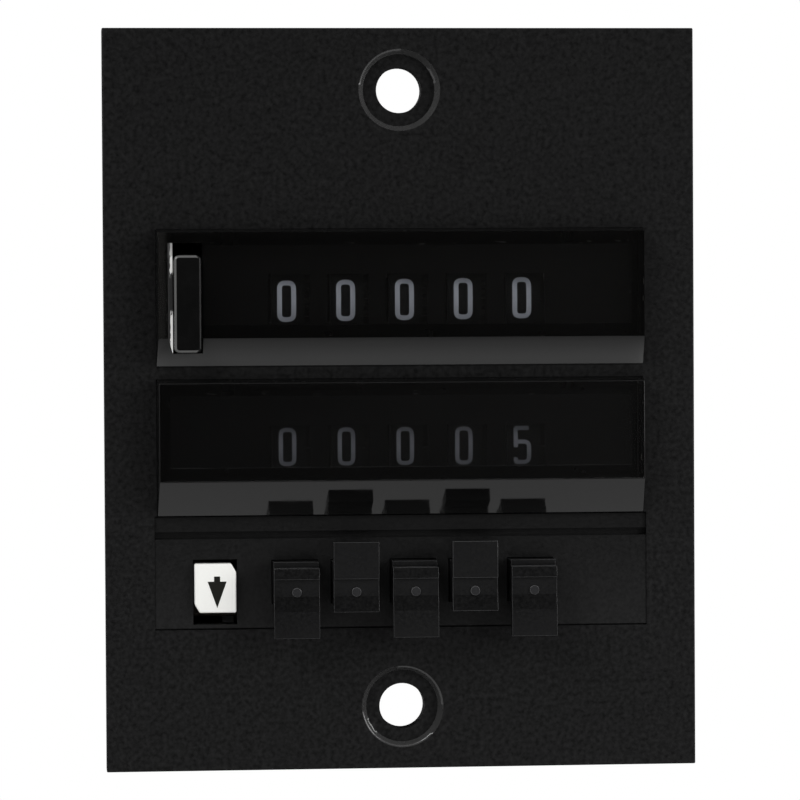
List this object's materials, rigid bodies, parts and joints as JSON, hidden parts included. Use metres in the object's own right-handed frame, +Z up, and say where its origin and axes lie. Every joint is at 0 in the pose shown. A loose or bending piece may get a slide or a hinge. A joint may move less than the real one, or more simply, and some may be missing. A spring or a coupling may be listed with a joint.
{
  "type": "electromechanical preset counter for panel mounting",
  "caption": "Panel counter with a row of number wheels behind each of its two windows, and a setting key below each preset wheel, built to the depth of its frame, magnet and housing",
  "frame": {"origin": "centre of the front plate's back face, which lies against the panel", "axes": "X to the right seen from the front, +Y from the front into the panel, Z up"},
  "size_m": [0.06, 0.1023, 0.075],
  "materials": {
    "plate": "satin",
    "panel": "moulded",
    "clear": "polished",
    "mask": "matt",
    "keys": "moulded",
    "springs": "wire",
    "white": "moulded",
    "steel": "plated",
    "guide": "moulded",
    "reset": "polished",
    "wheels": "moulded",
    "pinions": "moulded",
    "bronze": "rolled",
    "iron": "plated iron",
    "bobbin": "moulded",
    "copper": "enamelled wire",
    "switch": "moulded",
    "shell": "moulded",
    "terminals": "turned"
  },
  "bodies": {
    "frame": {"front_plate": "plate", "key_panel": "panel", "count_window": "clear", "preset_window": "clear", "count_mask": "mask", "preset_mask": "mask", "left_side_plate": "steel", "right_side_plate": "steel", "frame_rods": "steel", "count_shaft": "steel", "preset_shaft": "steel", "pinion_shaft": "steel", "case_screws": "steel", "key_guide": "guide", "detent_comb": "bronze", "magnet_core": "iron", "magnet_yoke": "iron", "coil_bobbin": "bobbin", "coil_winding": "copper", "switch_case": "switch", "housing": "shell", "terminal_block": "shell", "terminal_screws": "terminals"},
    "count_wheel_1": {"count_wheel_1": "wheels"},
    "count_wheel_2": {"count_wheel_2": "wheels"},
    "count_wheel_3": {"count_wheel_3": "wheels"},
    "count_wheel_4": {"count_wheel_4": "wheels"},
    "count_wheel_5": {"count_wheel_5": "wheels"},
    "carry_pinion_1": {"carry_pinion_1": "pinions"},
    "carry_pinion_2": {"carry_pinion_2": "pinions"},
    "carry_pinion_3": {"carry_pinion_3": "pinions"},
    "carry_pinion_4": {"carry_pinion_4": "pinions"},
    "preset_wheel_1": {"preset_wheel_1": "wheels"},
    "preset_wheel_2": {"preset_wheel_2": "wheels"},
    "preset_wheel_3": {"preset_wheel_3": "wheels"},
    "preset_wheel_4": {"preset_wheel_4": "wheels"},
    "preset_wheel_5": {"preset_wheel_5": "wheels"},
    "setting_key_1": {"setting_key_1": "keys", "key_spring_1": "springs"},
    "setting_key_2": {"setting_key_2": "keys", "key_spring_2": "springs"},
    "setting_key_3": {"setting_key_3": "keys", "key_spring_3": "springs"},
    "setting_key_4": {"setting_key_4": "keys", "key_spring_4": "springs"},
    "setting_key_5": {"setting_key_5": "keys", "key_spring_5": "springs"},
    "lock": {"lock_slide": "white", "lock_bar": "steel"},
    "reset_lever": {"reset_key": "reset", "reset_spring": "springs"},
    "hammers": {"hammer_comb": "steel", "hammer_shaft": "steel"},
    "trip_bail": {"trip_bail": "steel"},
    "armature": {"armature": "iron", "armature_spring": "springs", "drive_pawl": "bronze"},
    "switch_lever": {"switch_lever": "steel"},
    "switch_plunger": {"switch_plunger": "switch"}
  },
  "joints": [
    {"name": "turn_count_wheel_1", "type": "hinge", "parent": "frame", "child": "count_wheel_1", "pos_m": [-0.0113, 0.0063, 0.01], "axis": [1, 0, 0], "continuous": true},
    {"name": "turn_count_wheel_2", "type": "hinge", "parent": "frame", "child": "count_wheel_2", "pos_m": [-0.0053, 0.0063, 0.01], "axis": [1, 0, 0], "continuous": true},
    {"name": "turn_count_wheel_3", "type": "hinge", "parent": "frame", "child": "count_wheel_3", "pos_m": [0.0007, 0.0063, 0.01], "axis": [1, 0, 0], "continuous": true},
    {"name": "turn_count_wheel_4", "type": "hinge", "parent": "frame", "child": "count_wheel_4", "pos_m": [0.0067, 0.0063, 0.01], "axis": [1, 0, 0], "continuous": true},
    {"name": "turn_count_wheel_5", "type": "hinge", "parent": "frame", "child": "count_wheel_5", "pos_m": [0.0127, 0.0063, 0.01], "axis": [1, 0, 0], "continuous": true},
    {"name": "turn_carry_pinion_1", "type": "hinge", "parent": "frame", "child": "carry_pinion_1", "pos_m": [-0.0087, 0.00331, 0.01822], "axis": [1, 0, 0], "continuous": true},
    {"name": "turn_carry_pinion_2", "type": "hinge", "parent": "frame", "child": "carry_pinion_2", "pos_m": [-0.0027, 0.00331, 0.01822], "axis": [1, 0, 0], "continuous": true},
    {"name": "turn_carry_pinion_3", "type": "hinge", "parent": "frame", "child": "carry_pinion_3", "pos_m": [0.0033, 0.00331, 0.01822], "axis": [1, 0, 0], "continuous": true},
    {"name": "turn_carry_pinion_4", "type": "hinge", "parent": "frame", "child": "carry_pinion_4", "pos_m": [0.0093, 0.00331, 0.01822], "axis": [1, 0, 0], "continuous": true},
    {"name": "turn_preset_wheel_1", "type": "hinge", "parent": "frame", "child": "preset_wheel_1", "pos_m": [-0.0113, 0.0056, -0.00495], "axis": [1, 0, 0], "continuous": true},
    {"name": "turn_preset_wheel_2", "type": "hinge", "parent": "frame", "child": "preset_wheel_2", "pos_m": [-0.0053, 0.0056, -0.00495], "axis": [1, 0, 0], "continuous": true},
    {"name": "turn_preset_wheel_3", "type": "hinge", "parent": "frame", "child": "preset_wheel_3", "pos_m": [0.0007, 0.0056, -0.00495], "axis": [1, 0, 0], "continuous": true},
    {"name": "turn_preset_wheel_4", "type": "hinge", "parent": "frame", "child": "preset_wheel_4", "pos_m": [0.0067, 0.0056, -0.00495], "axis": [1, 0, 0], "continuous": true},
    {"name": "turn_preset_wheel_5", "type": "hinge", "parent": "frame", "child": "preset_wheel_5", "pos_m": [0.0127, 0.0056, -0.00495], "axis": [1, 0, 0], "continuous": true},
    {"name": "press_setting_key_1", "type": "slide", "parent": "frame", "child": "setting_key_1", "axis": [0, 1, 0], "range_m": [0, 0.0022], "stiffness_N_per_m": 500, "deforming": ["key_spring_1"]},
    {"name": "press_setting_key_2", "type": "slide", "parent": "frame", "child": "setting_key_2", "axis": [0, 1, 0], "range_m": [0, 0.0022], "stiffness_N_per_m": 500, "deforming": ["key_spring_2"]},
    {"name": "press_setting_key_3", "type": "slide", "parent": "frame", "child": "setting_key_3", "axis": [0, 1, 0], "range_m": [0, 0.0022], "stiffness_N_per_m": 500, "deforming": ["key_spring_3"]},
    {"name": "press_setting_key_4", "type": "slide", "parent": "frame", "child": "setting_key_4", "axis": [0, 1, 0], "range_m": [0, 0.0022], "stiffness_N_per_m": 500, "deforming": ["key_spring_4"]},
    {"name": "press_setting_key_5", "type": "slide", "parent": "frame", "child": "setting_key_5", "axis": [0, 1, 0], "range_m": [0, 0.0022], "stiffness_N_per_m": 500, "deforming": ["key_spring_5"]},
    {"name": "slide_lock", "type": "slide", "parent": "frame", "child": "lock", "axis": [0, 0, -1], "range_m": [0, 0.001]},
    {"name": "swing_reset_key", "type": "hinge", "parent": "frame", "child": "reset_lever", "pos_m": [-0.02162, 0.009, -0.0225], "axis": [-1, 0, 0], "range_deg": [0, 4], "stiffness_Nm_per_rad": 0.9, "deforming": ["reset_spring"]},
    {"name": "swing_hammers", "type": "hinge", "parent": "frame", "child": "hammers", "pos_m": [0, 0.0136, 0.0174], "axis": [-1, 0, 0], "range_deg": [0, 18]},
    {"name": "swing_trip_bail", "type": "hinge", "parent": "frame", "child": "trip_bail", "pos_m": [0, 0.0138, 0.0018], "axis": [-1, 0, 0], "range_deg": [0, 2.4], "stiffness_Nm_per_rad": 0.05, "springref_deg": -2.86},
    {"name": "swing_armature", "type": "hinge", "parent": "frame", "child": "armature", "pos_m": [0.004, 0.0285, 0.0198], "axis": [1, 0, 0], "range_deg": [0, 2.5], "stiffness_Nm_per_rad": 0.05, "deforming": ["armature_spring"]},
    {"name": "swing_switch_lever", "type": "hinge", "parent": "frame", "child": "switch_lever", "pos_m": [0, 0.0426, -0.0109], "axis": [1, 0, 0], "range_deg": [0, 2]},
    {"name": "press_switch_plunger", "type": "slide", "parent": "frame", "child": "switch_plunger", "axis": [0, 0, -1], "range_m": [0, 0.00045]}
  ],
  "couplings": [
    {"joint": "turn_carry_pinion_1", "follows": "turn_count_wheel_1", "ratio": -2.5},
    {"joint": "turn_carry_pinion_2", "follows": "turn_count_wheel_2", "ratio": -2.5},
    {"joint": "turn_carry_pinion_3", "follows": "turn_count_wheel_3", "ratio": -2.5},
    {"joint": "turn_carry_pinion_4", "follows": "turn_count_wheel_4", "ratio": -2.5},
    {"joint": "swing_hammers", "follows": "swing_reset_key", "ratio": 4.5},
    {"joint": "swing_switch_lever", "follows": "swing_trip_bail", "ratio": 0.756},
    {"joint": "press_switch_plunger", "follows": "swing_trip_bail", "m_per_rad": 0.0099}
  ]
}
